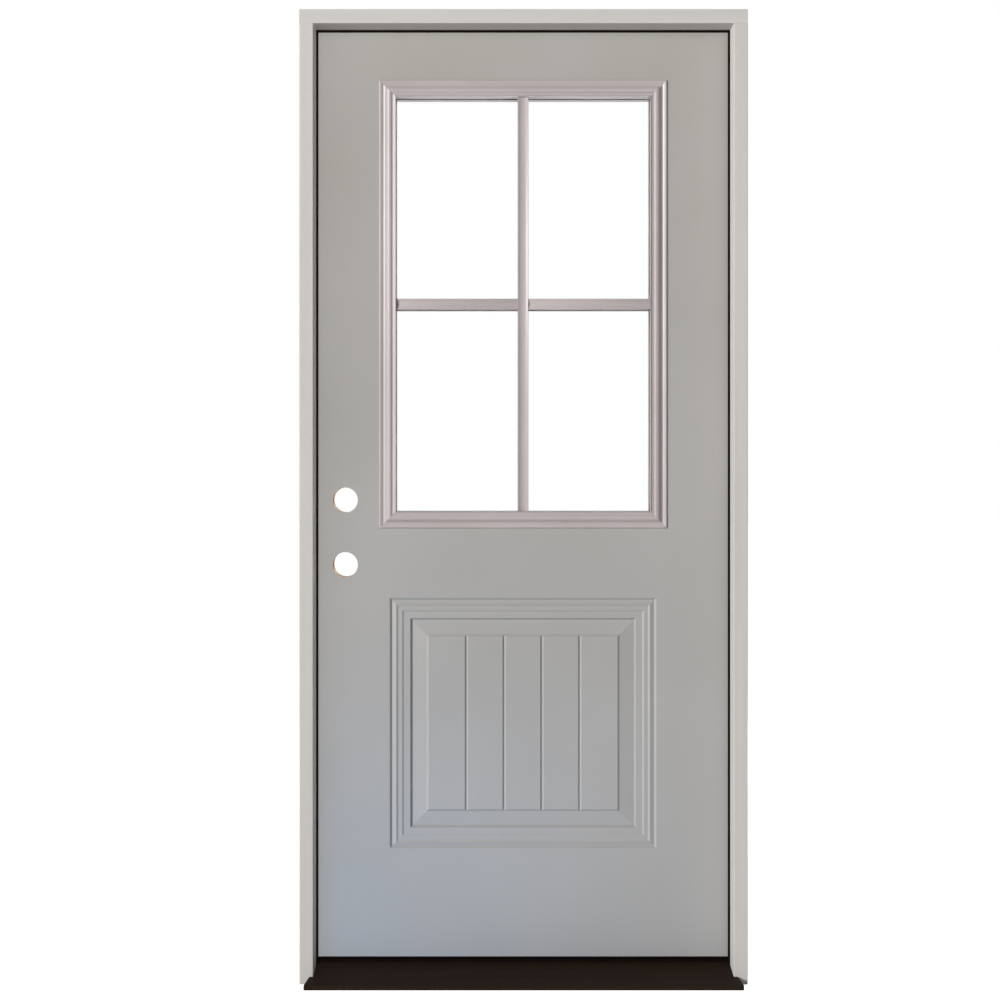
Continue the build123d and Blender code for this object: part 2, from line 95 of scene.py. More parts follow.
# %% Helpers for selecting and shaping
def let_go():
    """Leave edit mode and deselect every object."""
    if bpy.context.mode != "OBJECT":
        bpy.ops.object.mode_set(mode="OBJECT")
    bpy.ops.object.select_all(action="DESELECT")


def open_piece(piece):
    """Make one piece the only one selected and open it in edit mode."""
    let_go()
    piece.select_set(True)
    bpy.context.view_layer.objects.active = piece
    bpy.ops.object.mode_set(mode="EDIT")


def pick(kind, test):
    """In edit mode, select the points, edges or faces all of whose points pass the test."""
    bpy.ops.mesh.select_mode(type=kind)
    bpy.ops.mesh.select_all(action="DESELECT")
    mesh = bmesh.from_edit_mesh(bpy.context.edit_object.data)
    if kind == "VERT":
        for point in mesh.verts:
            point.select_set(test(point.co))
    else:
        for item in mesh.edges if kind == "EDGE" else mesh.faces:
            item.select_set(all(test(point.co) for point in item.verts))
    bmesh.update_edit_mesh(bpy.context.edit_object.data)


def add_block(name, low, high):
    """A box between two corners, with its place in its mesh."""
    let_go()
    low, high = Vector(low), Vector(high)
    bpy.ops.mesh.primitive_cube_add(size=1, location=(low + high) / 2)
    piece = bpy.context.object
    piece.name = piece.data.name = name
    piece.scale = high - low
    bpy.ops.object.transform_apply(location=True, rotation=True, scale=True)
    return piece


def cut_at(place, normal):
    """In edit mode, cut the selected faces along a plane."""
    bpy.ops.mesh.bisect(plane_co=place, plane_no=normal)


def apply_modifier(piece, kind, **settings):
    """Add a modifier with these settings and apply it."""
    let_go()
    piece.select_set(True)
    bpy.context.view_layer.objects.active = piece
    modifier = piece.modifiers.new(kind.title(), kind)
    for name, value in settings.items():
        setattr(modifier, name, value)
    bpy.ops.object.modifier_apply(modifier=modifier.name)


def smooth(piece, degrees):
    """Shade smooth, but keep edges sharper than this angle crisp."""
    let_go()
    piece.select_set(True)
    bpy.context.view_layer.objects.active = piece
    bpy.ops.object.shade_smooth_by_angle(angle=math.radians(degrees))


def even_shading(piece):
    """Let large faces decide the shading, so that flats look flat right up to their rounded edges."""
    apply_modifier(piece, "WEIGHTED_NORMAL", keep_sharp=True)


def hang(piece, body, slot, material, *stands_for):
    """Fix a finished piece to its body, give it its finish and hide the solids it stands for."""
    piece.data.materials.clear()
    piece.data.materials.append(material)
    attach(piece, body)
    if stands_for:
        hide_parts(*stands_for)
    print(piece.name, "faces:", len(piece.data.polygons), "rides on", body)


# %% [markdown]
# ## Finishes
# Every finish starts from one Principled shader. Its colour drifts a little between two tones through
# noise, and a fine bump stands for the texture of the coat. The noise reads Object coordinates, so a
# pattern has a real size in metres and stays with its piece when the door swings.


# %% Helpers for finishes
def tone(red, green, blue):
    """A colour given as on a screen, from 0 to 255, in the linear values that shaders use."""
    def linear(value):
        value /= 255
        return value / 12.92 if value <= 0.04045 else ((value + 0.055) / 1.055) ** 2.4
    return (linear(red), linear(green), linear(blue), 1.0)


def new_finish(name, roughness, metallic=0.0, specular=0.5):
    """A material with its Principled shader, and that shader."""
    material = bpy.data.materials.new(name)
    material.use_nodes = True
    shader = material.node_tree.nodes["Principled BSDF"]
    shader.inputs["Roughness"].default_value = roughness
    shader.inputs["Metallic"].default_value = metallic
    shader.inputs["Specular IOR Level"].default_value = specular
    return material, shader


def noise_in(material, scale, detail=3.0, stretch=(1, 1, 1)):
    """Noise with this many lumps to the metre, stretched along the axes; returns its value socket."""
    nodes, links = material.node_tree.nodes, material.node_tree.links
    place = nodes.new("ShaderNodeTexCoord")
    mapping = nodes.new("ShaderNodeMapping")
    mapping.inputs["Scale"].default_value = stretch
    noise = nodes.new("ShaderNodeTexNoise")
    noise.inputs["Scale"].default_value = scale
    noise.inputs["Detail"].default_value = detail
    links.new(place.outputs["Object"], mapping.inputs["Vector"])
    links.new(mapping.outputs["Vector"], noise.inputs["Vector"])
    return noise.outputs["Fac"]


def drift(material, shader, value, dark, light, low=0.3, high=0.7):
    """Let the colour drift between two tones as the value goes from low to high."""
    nodes, links = material.node_tree.nodes, material.node_tree.links
    ramp = nodes.new("ShaderNodeValToRGB")
    ramp.color_ramp.elements[0].position = low
    ramp.color_ramp.elements[0].color = dark
    ramp.color_ramp.elements[1].position = high
    ramp.color_ramp.elements[1].color = light
    links.new(value, ramp.inputs["Fac"])
    links.new(ramp.outputs["Color"], shader.inputs["Base Color"])


def roughen(material, shader, value, low, high):
    """Let the roughness vary between two limits."""
    nodes, links = material.node_tree.nodes, material.node_tree.links
    reach = nodes.new("ShaderNodeMapRange")
    reach.inputs["To Min"].default_value = low
    reach.inputs["To Max"].default_value = high
    links.new(value, reach.inputs["Value"])
    links.new(reach.outputs["Result"], shader.inputs["Roughness"])


def bump(material, shader, value, strength, height):
    """Raise the surface by this height in metres where the value is high."""
    nodes, links = material.node_tree.nodes, material.node_tree.links
    relief = nodes.new("ShaderNodeBump")
    relief.inputs["Strength"].default_value = strength
    relief.inputs["Distance"].default_value = height
    links.new(value, relief.inputs["Height"])
    links.new(relief.outputs["Normal"], shader.inputs["Normal"])


# %% [markdown]
# The steel skins and the wooden jambs both come primed, but they are different coats. The steel has a
# sprayed primer with a fine orange peel and is the darker grey. The jambs are lighter, and the grain
# of the wood shows through the primer as faint streaks along each length, so the jambs have one finish
# for uprights and one for the head.

# %% Primed steel and primed wood
primed_steel, shader = new_finish("primed_steel_finish", 0.5, specular=0.35)
drift(primed_steel, shader, noise_in(primed_steel, 2.2, 2.0), tone(160, 157, 152), tone(166, 163, 159))
roughen(primed_steel, shader, noise_in(primed_steel, 9.0), 0.42, 0.56)
bump(primed_steel, shader, noise_in(primed_steel, 420.0, 2.0), 0.25, 0.00012)


def primed_wood_finish(name, stretch):
    """Primer on wood, with streaks along the axis that is stretched least."""
    material, shader = new_finish(name, 0.62, specular=0.15)
    drift(material, shader, noise_in(material, 55.0, 4.0, stretch),
          tone(194, 191, 188), tone(200, 197, 194))
    bump(material, shader, noise_in(material, 160.0, 3.0, stretch), 0.3, 0.00015)
    return material


primed_upright = primed_wood_finish("primed_upright_finish", (1, 1, 0.03))
primed_head = primed_wood_finish("primed_head_finish", (0.03, 1, 1))
print("primers:", primed_steel.name, primed_upright.name, primed_head.name)

# %% [markdown]
# The lite frames and muntins are moulded plastic, paler than the steel and a touch pink, with a satin
# skin that catches the light along its curves. The glass is clear float glass in two sheets round a
# metal spacer. Glass shows by what it mirrors and bends, so its tint drifts by no more than a trace,
# and it has no bump, which would make every edge behind it look wavy.

# %% Plastic, glass and spacer
lite_plastic, shader = new_finish("lite_plastic_finish", 0.34, specular=0.38)
drift(lite_plastic, shader, noise_in(lite_plastic, 6.0, 2.0), tone(175, 165, 166), tone(181, 171, 172))
bump(lite_plastic, shader, noise_in(lite_plastic, 700.0, 2.0), 0.12, 0.00006)

clear_glass, shader = new_finish("clear_glass_finish", 0.0)
shader.inputs["Transmission Weight"].default_value = 1.0
shader.inputs["IOR"].default_value = 1.45
drift(clear_glass, shader, noise_in(clear_glass, 2.0, 1.0),
      (0.995, 0.999, 0.997, 1), (0.998, 1.0, 0.999, 1))

spacer_metal, shader = new_finish("spacer_metal_finish", 0.6, 0.35)
drift(spacer_metal, shader, noise_in(spacer_metal, 40.0), tone(216, 216, 215), tone(228, 228, 227))
print("lite finishes:", lite_plastic.name, clear_glass.name, spacer_metal.name)

# %% [markdown]
# The sill's deck is drawn metal with a dark bronze coat. Drawing leaves fine lines along its length, so
# its noise is stretched far along X. The cap and the base under it are composite, duller and without
# lines. The cap, the base and the seals are near black: partly their own dark colour and partly painted
# shade for the shadow band under the door. The hinges are plated steel with a satin brush along their
# height, rough enough not to mirror a lamp.

# %% Sill, seals and hinges
dark_bronze, shader = new_finish("dark_bronze_finish", 0.42, specular=0.02)
drift(dark_bronze, shader, noise_in(dark_bronze, 90.0, 3.0, (0.02, 1, 1)),
      tone(37, 27, 21), tone(43, 33, 27))
roughen(dark_bronze, shader, noise_in(dark_bronze, 30.0, 3.0, (0.05, 1, 1)), 0.36, 0.5)
bump(dark_bronze, shader, noise_in(dark_bronze, 260.0, 2.0, (0.02, 1, 1)), 0.2, 0.0001)

# Near black: partly the composite's own dark colour, partly painted shade for the shadow band under the
# door.
dark_composite, shader = new_finish("dark_composite_finish", 0.6, specular=0.02)
drift(dark_composite, shader, noise_in(dark_composite, 60.0), tone(16, 10, 9), tone(22, 15, 13))
bump(dark_composite, shader, noise_in(dark_composite, 500.0), 0.25, 0.0001)

# Near black: partly the seals' own dark colour, partly painted shade for the shadow band under the door.
dark_seal_with_painted_shade, shader = new_finish("dark_seal_finish", 0.75, specular=0.02)
drift(dark_seal_with_painted_shade, shader, noise_in(dark_seal_with_painted_shade, 120.0), tone(14, 10, 9), tone(20, 15, 13))
bump(dark_seal_with_painted_shade, shader, noise_in(dark_seal_with_painted_shade, 600.0), 0.3, 0.00012)

hinge_steel, shader = new_finish("hinge_steel_finish", 0.6, 1.0)
drift(hinge_steel, shader, noise_in(hinge_steel, 150.0, 3.0, (1, 1, 0.06)),
      tone(126, 124, 119), tone(142, 139, 134))
roughen(hinge_steel, shader, noise_in(hinge_steel, 300.0, 2.0, (1, 1, 0.05)), 0.52, 0.66)
print("dark finishes:", dark_bronze.name, dark_composite.name, dark_seal_with_painted_shade.name, "metal:", hinge_steel.name)

# %% [markdown]
# Inside the slab, bare softwood edges the foam. Its grain is noise stretched along the length, run
# through a ramp of pale and darker wood, and the rails use the same grain turned along X. The foam
# is a pale, pitted filling that only an unfinished edge would show.


# %% Bare wood and foam
def bare_wood_finish(name, stretch):
    """Planed softwood with its grain along the axis that is stretched least."""
    material, shader = new_finish(name, 0.6)
    drift(material, shader, noise_in(material, 38.0, 5.0, stretch),
          tone(188, 150, 104), tone(222, 192, 148))
    bump(material, shader, noise_in(material, 140.0, 3.0, stretch), 0.3, 0.0002)
    return material


bare_upright = bare_wood_finish("bare_upright_finish", (1, 1, 0.05))
bare_rail = bare_wood_finish("bare_rail_finish", (0.05, 1, 1))
slab_foam, shader = new_finish("slab_foam_finish", 0.9)
drift(slab_foam, shader, noise_in(slab_foam, 80.0), tone(214, 198, 156), tone(228, 214, 174))
bump(slab_foam, shader, noise_in(slab_foam, 700.0), 0.4, 0.0004)
print("inner finishes:", bare_upright.name, bare_rail.name, slab_foam.name)

# %% [markdown]
# Some solids already have the right shape, and only need their finish. They stay in place as they are:
# the panes and spacer, the filling and edging of the slab, the sweep and the seals.

# %% Finishes for the solids that stay
# The sweep and the seals take the near-black seal finish, which holds painted shade.
kept_solids = {
    "outer_pane": clear_glass, "inner_pane": clear_glass, "glass_spacer": spacer_metal,
    "hinge_stile": bare_upright, "lock_stile": bare_upright, "lock_block": bare_upright,
    "top_rail": bare_rail, "bottom_rail": bare_rail, "foam_core": slab_foam, "door_sweep": dark_seal_with_painted_shade,
    "hinge_weatherstrip": dark_seal_with_painted_shade, "strike_weatherstrip": dark_seal_with_painted_shade, "head_weatherstrip": dark_seal_with_painted_shade,
}
for node, material in kept_solids.items():
    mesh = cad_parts[node].data
    mesh.materials.clear()
    mesh.materials.append(material)
print("solids kept as they are:", len(kept_solids))

# %% [markdown]
# ## The pressed skins
# Each face of the slab is one steel sheet. A press has sunk a stepped border and five planks into its
# lower half, a window is cut out above, and the long edges are folded round the slab. A sheet is best
# modelled as a sheet: a flat plane is cut where things change, the border grows by insetting one
# face again and again, each time with a depth, and thickness comes last.

# %% Measures of the sheet
skin_low, skin_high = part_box("outer_skin")
inner_low, inner_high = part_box("inner_skin")
slab_front = skin_low.y
slab_back = inner_high.y
slab_middle = (slab_front + slab_back) / 2
lite_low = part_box("outer_lite_bottom")[0]
lite_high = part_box("outer_lite_top")[1]
lite_overlap = 0.016
skin_thickness = 0.0007
panel_half_width = skin_high.x - 0.166
panel_base = skin_low.z + 0.2333
panel_top = panel_base + 0.541
panel_steps = [(0.005, -0.004), (0.014, -0.001), (0.0185, -0.0032), (0.0265, -0.0027), (0.0305, -0.0047),
               (0.044, -0.0042), (0.048, -0.0092), (0.0795, -0.0046), (0.084, -0.0015)]
plank_count = 5
groove_width = 0.0075
groove_depth = 0.003
print("slab front at", round(slab_front, 5), "back at", round(slab_back, 5))

# %% [markdown]
# The flat sheet comes first. Cuts right across it mark the edges of the panel and of the window, and
# the faces of the window are deleted. What is left round the panel is one face, ready for the press.

# %% Flat sheet with its window
let_go()
sheet_size = skin_high - skin_low
bpy.ops.mesh.primitive_plane_add(size=1, rotation=(math.radians(90), 0, 0),
                                 location=(0, slab_front, (skin_low.z + skin_high.z) / 2))
outer_sheet = bpy.context.object
outer_sheet.name = outer_sheet.data.name = "outer_pressed_sheet"
outer_sheet.scale = (sheet_size.x, sheet_size.z, 1)
bpy.ops.object.transform_apply(location=True, rotation=True, scale=True)
window_half = lite_high.x - lite_overlap
window_base = lite_low.z + lite_overlap
window_top = lite_high.z - lite_overlap
open_piece(outer_sheet)
for x in (-panel_half_width, panel_half_width, -window_half, window_half):
    bpy.ops.mesh.select_all(action="SELECT")
    cut_at((x, 0, 0), (1, 0, 0))
for z in (panel_base, panel_top, window_base, window_top):
    bpy.ops.mesh.select_all(action="SELECT")
    cut_at((0, 0, z), (0, 0, 1))
near = 1e-5
pick("FACE", lambda p: abs(p.x) < window_half + near and window_base - near < p.z < window_top + near)
bpy.ops.mesh.delete(type="FACE")
let_go()
print("sheet with window, faces:", len(outer_sheet.data.polygons))

# %% [markdown]
# Now the press. Inset shrinks the panel's face by a width and sinks or lifts it by a depth, which is
# one step of the border. Nine insets give the whole border with its corners mitred for free, and the
# face that is left in the middle is the field of planks.

# %% Stepped border of the panel
open_piece(outer_sheet)
pick("FACE", lambda p: abs(p.x) < panel_half_width + near and panel_base - near < p.z < panel_top + near)
done_width, done_depth = 0.0, 0.0
for step_width, step_depth in panel_steps:
    bpy.ops.mesh.inset(thickness=step_width - done_width, depth=step_depth - done_depth)
    done_width, done_depth = step_width, step_depth
let_go()
field_half = panel_half_width - done_width
field_base, field_top = panel_base + done_width, panel_top - done_width
field_y = slab_front - done_depth
print("field", round(2 * field_half, 4), "by", round(field_top - field_base, 4))

# %% [markdown]
# The planks are told apart by V grooves that run out on the last step of the border, above and below
# the field. Three cuts mark each groove, and its middle line is pushed in. Where the groove's floor
# comes out on the step, the three cuts are merged into one point, so the V narrows to a tip there.

# %% V grooves between the planks
step_width = panel_steps[-1][0] - panel_steps[-2][0]
step_rise = panel_steps[-1][1] - panel_steps[-2][1]
run_out = groove_depth * step_width / step_rise
plank_width = 2 * field_half / plank_count
grooves = [plank_width * number - field_half for number in range(1, plank_count)]


def on_field_or_ends(p):
    """Whether a point lies on the plank field or on the step above or below it."""
    beyond = max(0.0, p.z - field_top, field_base - p.z)
    depth = field_y + beyond * step_rise / step_width
    within = beyond < step_width + near and abs(p.x) < field_half + beyond + near
    return within and abs(p.y - depth) < near


open_piece(outer_sheet)
for groove in grooves:
    for x in (groove - groove_width / 2, groove, groove + groove_width / 2):
        pick("FACE", on_field_or_ends)
        cut_at((x, 0, 0), (1, 0, 0))
for z in (field_base - run_out, field_top + run_out):
    pick("FACE", lambda p: on_field_or_ends(p) and not field_base + near < p.z < field_top - near)
    cut_at((0, 0, z), (0, 0, 1))
for groove in grooves:
    for z in (field_base - run_out, field_top + run_out):
        pick("VERT", lambda p: abs(p.x - groove) < groove_width / 2 + near and abs(p.z - z) < near)
        bpy.ops.mesh.merge(type="CENTER")
    pick("VERT", lambda p: abs(p.x - groove) < near and field_base - near < p.z < field_top + near
         and abs(p.y - field_y) < near)
    bpy.ops.transform.translate(value=(0, groove_depth, 0))
let_go()
print("grooves pressed:", len(grooves), "faces:", len(outer_sheet.data.polygons))

# %% [markdown]
# A press can't make a knife-sharp line in steel. Every crease is picked by its angle and rounded with
# a bevel of less than a millimetre. Then the long edges are extruded back to make the folds, those
# folds are rounded more generously, and Solidify gives the sheet its real thickness.

# %% Rounded press lines, folds and thickness
fold_depth = skin_high.y - skin_low.y
crease_above = math.radians(4)
press_round = 0.0005
fold_round = 0.0012
open_piece(outer_sheet)
bpy.ops.mesh.select_mode(type="EDGE")
bpy.ops.mesh.select_all(action="DESELECT")
bpy.ops.mesh.edges_select_sharp(sharpness=crease_above)
bpy.ops.mesh.bevel(offset=press_round, segments=2, clamp_overlap=True)
for side in (-1, 1):
    pick("EDGE", lambda p: abs(p.x - side * skin_high.x) < near)
    bpy.ops.mesh.extrude_region_move(TRANSFORM_OT_translate={"value": (0, fold_depth, 0)})
pick("EDGE", lambda p: abs(abs(p.x) - skin_high.x) < near and abs(p.y - slab_front) < near)
bpy.ops.mesh.bevel(offset=fold_round, segments=3, clamp_overlap=True)
bpy.ops.mesh.select_all(action="SELECT")
bpy.ops.mesh.normals_make_consistent(inside=False)
let_go()
apply_modifier(outer_sheet, "SOLIDIFY", thickness=skin_thickness, offset=-1.0, use_even_offset=True)
depths = [point.co.y for point in outer_sheet.data.vertices]
print("sheet with folds, faces:", len(outer_sheet.data.polygons),
      "from y", round(min(depths), 5), "to", round(max(depths), 5))

# %% [markdown]
# The two lock bores are drilled through the finished sheet with a Boolean, which is what a hole saw
# does. The inner face is the same pressing turned round, so the outer sheet is copied and turned half
# a turn about the upright line through the slab's middle. Its bores are drilled after the turn,
# because they stay on the lock side, and its fold is notched for the three hinges.

# %% Bores, the inner sheet and the hinge notches
bore_radius = 0.027
bore_x = 0.06985 - skin_high.x
bore_heights = [skin_low.z + 0.8458, skin_low.z + 0.9855]
drill_length = 0.2
hinges = ("top", "middle", "bottom")
notch_margin = 0.0002
notch_inward, notch_outward = 0.0025, 0.001


def cut_away(piece, cutter):
    """Cut one shape out of a piece with a Boolean and throw the cutter away."""
    apply_modifier(piece, "BOOLEAN", object=cutter, operation="DIFFERENCE", solver="EXACT")
    bpy.data.objects.remove(cutter)


def drill(piece, height):
    """Drill one lock bore through a sheet."""
    let_go()
    bpy.ops.mesh.primitive_cylinder_add(vertices=96, radius=bore_radius, depth=drill_length,
                                        location=(bore_x, slab_middle, height),
                                        rotation=(math.radians(90), 0, 0))
    cut_away(piece, bpy.context.object)


inner_sheet = bpy.data.objects.new("inner_pressed_sheet", outer_sheet.data.copy())
inner_sheet.data.name = inner_sheet.name
bpy.context.scene.collection.objects.link(inner_sheet)
let_go()
inner_sheet.select_set(True)
bpy.context.view_layer.objects.active = inner_sheet
inner_sheet.rotation_euler = (0, 0, math.radians(180))
inner_sheet.location = (0, 2 * slab_middle, 0)
bpy.ops.object.transform_apply(location=True, rotation=True, scale=True)
for sheet in (outer_sheet, inner_sheet):
    for height in bore_heights:
        drill(sheet, height)
for hinge in hinges:
    leaf_low, leaf_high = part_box(f"{hinge}_hinge_door_leaf")
    notch = add_block("notch",
                      (skin_high.x - notch_inward, inner_low.y - near, leaf_low.z - notch_margin),
                      (skin_high.x + notch_outward, slab_back + near, leaf_high.z + notch_margin))
    cut_away(inner_sheet, notch)
for sheet, node in ((outer_sheet, "outer_skin"), (inner_sheet, "inner_skin")):
    smooth(sheet, degrees=25)
    even_shading(sheet)
    hang(sheet, "door", "primed_steel", primed_steel, node)

# %% [markdown]
# ## The lite frames
# The window is held by a plastic frame on each face: four mitred bars with a rounded rim, a hollow that
# sweeps up to a round back, and a lip that turns out towards the glass. One bar is a block that is cut
# into rows and has each row of its face moved to the height of the moulding. The heights come from
# six arcs, each through three points of the section, so the curve stays smooth at any number of rows.


# %% Section of the lite moulding
def arc_through(first, middle, last, count):
    """Points along the circle through three points, from the first up to but not including the last."""
    (ax, ay), (bx, by), (cx, cy) = first, middle, last
    d = 2 * (ax * (by - cy) + bx * (cy - ay) + cx * (ay - by))
    ux = ((ax**2 + ay**2) * (by - cy) + (bx**2 + by**2) * (cy - ay) + (cx**2 + cy**2) * (ay - by)) / d
    uy = ((ax**2 + ay**2) * (cx - bx) + (bx**2 + by**2) * (ax - cx) + (cx**2 + cy**2) * (bx - ax)) / d
    radius = math.hypot(ax - ux, ay - uy)
    start = math.atan2(ay - uy, ax - ux)
    end = math.atan2(cy - uy, cx - ux)
    sweep = (end - start + math.pi) % (2 * math.pi) - math.pi
    steps = [start + sweep * number / count for number in range(count)]
    return [(ux + radius * math.cos(angle), uy + radius * math.sin(angle)) for angle in steps]


bar_width = 0.0365
arc_rows = 6
glass_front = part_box("outer_pane")[0].y
glass_recess = glass_front - slab_front
moulding = [(0.0, 0.0014), (0.0009, 0.003), (0.0024, 0.0038), (0.006, 0.0026), (0.0092, 0.001),
            (0.013, 0.0026), (0.0158, 0.0053), (0.0188, 0.0079), (0.0226, 0.009), (0.026, 0.0086),
            (0.0286, 0.0068), (0.0335, 0.0082), (bar_width, 0.0106)]
lite_rows = []
for number in range(0, len(moulding) - 1, 2):
    lite_rows += arc_through(*moulding[number:number + 3], arc_rows)
lite_rows.append(moulding[-1])
print("rows across the lite moulding:", len(lite_rows))


# %% [markdown]
# The bar is modelled lying along X with its outer edge on Z = 0 and its face towards -Y. Its back steps
# in at the lip, where it drops into the window as far as the glass. Both ends are cut to the mitre
# and filled, and a hair of bevel on the arrises leaves the fine line that shows where two bars meet.


# %% One moulded bar
block_half = 1.0
same_row = 1e-7


def moulded_bar(name, half_length, rows, back, mitre):
    """A bar along X with its face shaped by rows of (distance from its edge, height)."""
    width_low, width_high = rows[0][0], rows[-1][0]
    bar = add_block(name, (-half_length, -block_half, width_low), (half_length, block_half, width_high))
    open_piece(bar)
    for distance, _ in rows[1:-1]:
        bpy.ops.mesh.select_all(action="SELECT")
        cut_at((0, 0, distance), (0, 0, 1))
    for distance, height in rows:
        pick("VERT", lambda p: p.y < 0 and abs(p.z - distance) < same_row)
        bpy.ops.transform.translate(value=(0, block_half - height, 0))
        pick("VERT", lambda p: p.y > block_half / 2 and abs(p.z - distance) < same_row)
        bpy.ops.transform.translate(value=(0, back(distance) - block_half, 0))
    if mitre:
        for end in (-1, 1):
            bpy.ops.mesh.select_all(action="SELECT")
            bpy.ops.mesh.bisect(plane_co=(end * half_length, 0, 0), plane_no=(end, 0, 1),
                                use_fill=True, clear_outer=True)
    bpy.ops.mesh.select_all(action="SELECT")
    bpy.ops.mesh.normals_make_consistent(inside=False)
    let_go()
    return bar


def place_piece(piece, location, rotation):
    """Move and turn a piece, then put that place into its mesh."""
    let_go()
    piece.select_set(True)
    bpy.context.view_layer.objects.active = piece
    piece.location = location
    piece.rotation_euler = [math.radians(angle) for angle in rotation]
    bpy.ops.object.transform_apply(location=True, rotation=True, scale=True)


def copy_of(piece, name):
    """A copy of a piece with a mesh of its own."""
    copy = bpy.data.objects.new(name, piece.data.copy())
    copy.data.name = name
    bpy.context.scene.collection.objects.link(copy)
    return copy


bar_lip, lip_height, lip_step = 0.017, 0.0066, 2e-5
bar_arris = 0.00025
bar_rows = sorted(lite_rows + [(bar_lip - lip_step, lip_height), (bar_lip + lip_step, lip_height)])
lite_middle_z = (lite_low.z + lite_high.z) / 2
lite_half_width = lite_high.x
lite_half_height = (lite_high.z - lite_low.z) / 2
bar_models = {
    half: moulded_bar("lite_bar", half, bar_rows, lambda d: 0.0 if d < bar_lip else glass_recess, True)
    for half in (lite_half_width, lite_half_height)
}
for bar in bar_models.values():
    apply_modifier(bar, "BEVEL", width=bar_arris, segments=1, limit_method="ANGLE",
                   angle_limit=math.radians(60))
    smooth(bar, degrees=32)
print("bars modelled:", len(bar_models))

# %% [markdown]
# Turned by quarter turns, the two bars make all four sides of the outer frame. The inner frame is the
# outer one turned half round about the slab's middle. Each bar gets a mesh of its own.

# %% Eight bars in place
sides = {
    "bottom": (lite_half_width, (0, slab_front, lite_low.z), 0),
    "top": (lite_half_width, (0, slab_front, lite_high.z), 180),
    "lock_side": (lite_half_height, (lite_low.x, slab_front, lite_middle_z), 90),
    "hinge_side": (lite_half_height, (lite_high.x, slab_front, lite_middle_z), -90),
}
for side, (half, place, turn) in sides.items():
    outer_bar = copy_of(bar_models[half], f"outer_{side}_moulding")
    place_piece(outer_bar, place, (0, turn, 0))
    hang(outer_bar, "door", "lite_plastic", lite_plastic, f"outer_lite_{side}")
    inner_bar = copy_of(bar_models[half], f"inner_{side}_moulding")
    place_piece(inner_bar, place, (0, turn, 0))
    place_piece(inner_bar, (0, 2 * slab_middle, 0), (0, 0, 180))
    inner_name = {"lock_side": "hinge_side", "hinge_side": "lock_side"}.get(side, side)
    hang(inner_bar, "door", "lite_plastic", lite_plastic, f"inner_lite_{inner_name}")
for bar in bar_models.values():
    bpy.data.objects.remove(bar)

# %% [markdown]
# The muntins divide the glass in four. They are the same kind of bar, with square ends and a hollow
# face between two narrow edges, and the cross bars butt against the upright.

# %% Muntins
upright_low, upright_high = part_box("outer_upright_muntin")
cross_low, cross_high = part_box("outer_lock_side_muntin")
muntin_half = (upright_high.x - upright_low.x) / 2
muntin_height = glass_front - upright_low.y
muntin_edge = 0.0012
muntin_scoop = 0.0028
muntin_arris = 0.0004
flat = muntin_half - muntin_edge
hollow = arc_through((-flat, muntin_height), (0, muntin_height - muntin_scoop), (flat, muntin_height), 16)
muntin_rows = [(-muntin_half, muntin_height), *hollow, (flat, muntin_height), (muntin_half, muntin_height)]
muntin_places = {
    "upright_muntin": ((upright_high.z - upright_low.z) / 2, 0.0, 90),
    "lock_side_muntin": ((cross_high.x - cross_low.x) / 2, (cross_low.x + cross_high.x) / 2, 0),
    "hinge_side_muntin": ((cross_high.x - cross_low.x) / 2, -(cross_low.x + cross_high.x) / 2, 0),
}
for name, (half, middle_x, turn) in muntin_places.items():
    outer_bar = moulded_bar(f"outer_{name}_bar", half, muntin_rows, lambda d: 0.0, False)
    apply_modifier(outer_bar, "BEVEL", width=muntin_arris, segments=2, limit_method="ANGLE",
                   angle_limit=math.radians(50))
    smooth(outer_bar, degrees=35)
    inner_bar = copy_of(outer_bar, f"inner_{name}_bar")
    place_piece(outer_bar, (middle_x, glass_front, lite_middle_z), (0, turn, 0))
    place_piece(inner_bar, (middle_x, 2 * slab_middle - glass_front, lite_middle_z), (0, turn, 180))
    hang(outer_bar, "door", "lite_plastic", lite_plastic, f"outer_{name}")
    hang(inner_bar, "door", "lite_plastic", lite_plastic, f"inner_{name}")

# %% [markdown]
# ## The wooden frame, the sill and the hinges
# These solids have the right form, but their edges are as sharp as a drawing. A sharp edge catches no
# light, and real arrises are eased by sandpaper, dies or plating. So each solid is copied, its loose
# triangles are merged and dissolved back into flat faces, and a small bevel eases what is left.


# %% Eased copies of solids
same_point = 1e-6
flat_within = math.radians(0.6)
ease_above = math.radians(40)
wood_arris, deck_arris, cap_arris, leaf_arris, pin_arris = 0.0006, 0.0004, 0.0005, 0.0003, 0.0008


def eased_copy(node, width, material, slot, body, segments=2):
    """A copy of a solid with its arrises eased by this width."""
    piece = copy_of(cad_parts[node], f"{node}_eased")
    open_piece(piece)
    bpy.ops.mesh.select_all(action="SELECT")
    bpy.ops.mesh.remove_doubles(threshold=same_point)
    bpy.ops.mesh.dissolve_limited(angle_limit=flat_within)
    let_go()
    apply_modifier(piece, "BEVEL", width=width, segments=segments, limit_method="ANGLE",
                   angle_limit=ease_above, use_clamp_overlap=True)
    smooth(piece, degrees=38)
    even_shading(piece)
    hang(piece, body, slot, material, node)
    return piece


for node in ("hinge_jamb", "strike_jamb"):
    eased_copy(node, wood_arris, primed_upright, "primed_wood", "frame")
eased_copy("head_jamb", wood_arris, primed_head, "primed_wood", "frame")
eased_copy("sill_deck", deck_arris, dark_bronze, "bronze_aluminium", "frame")
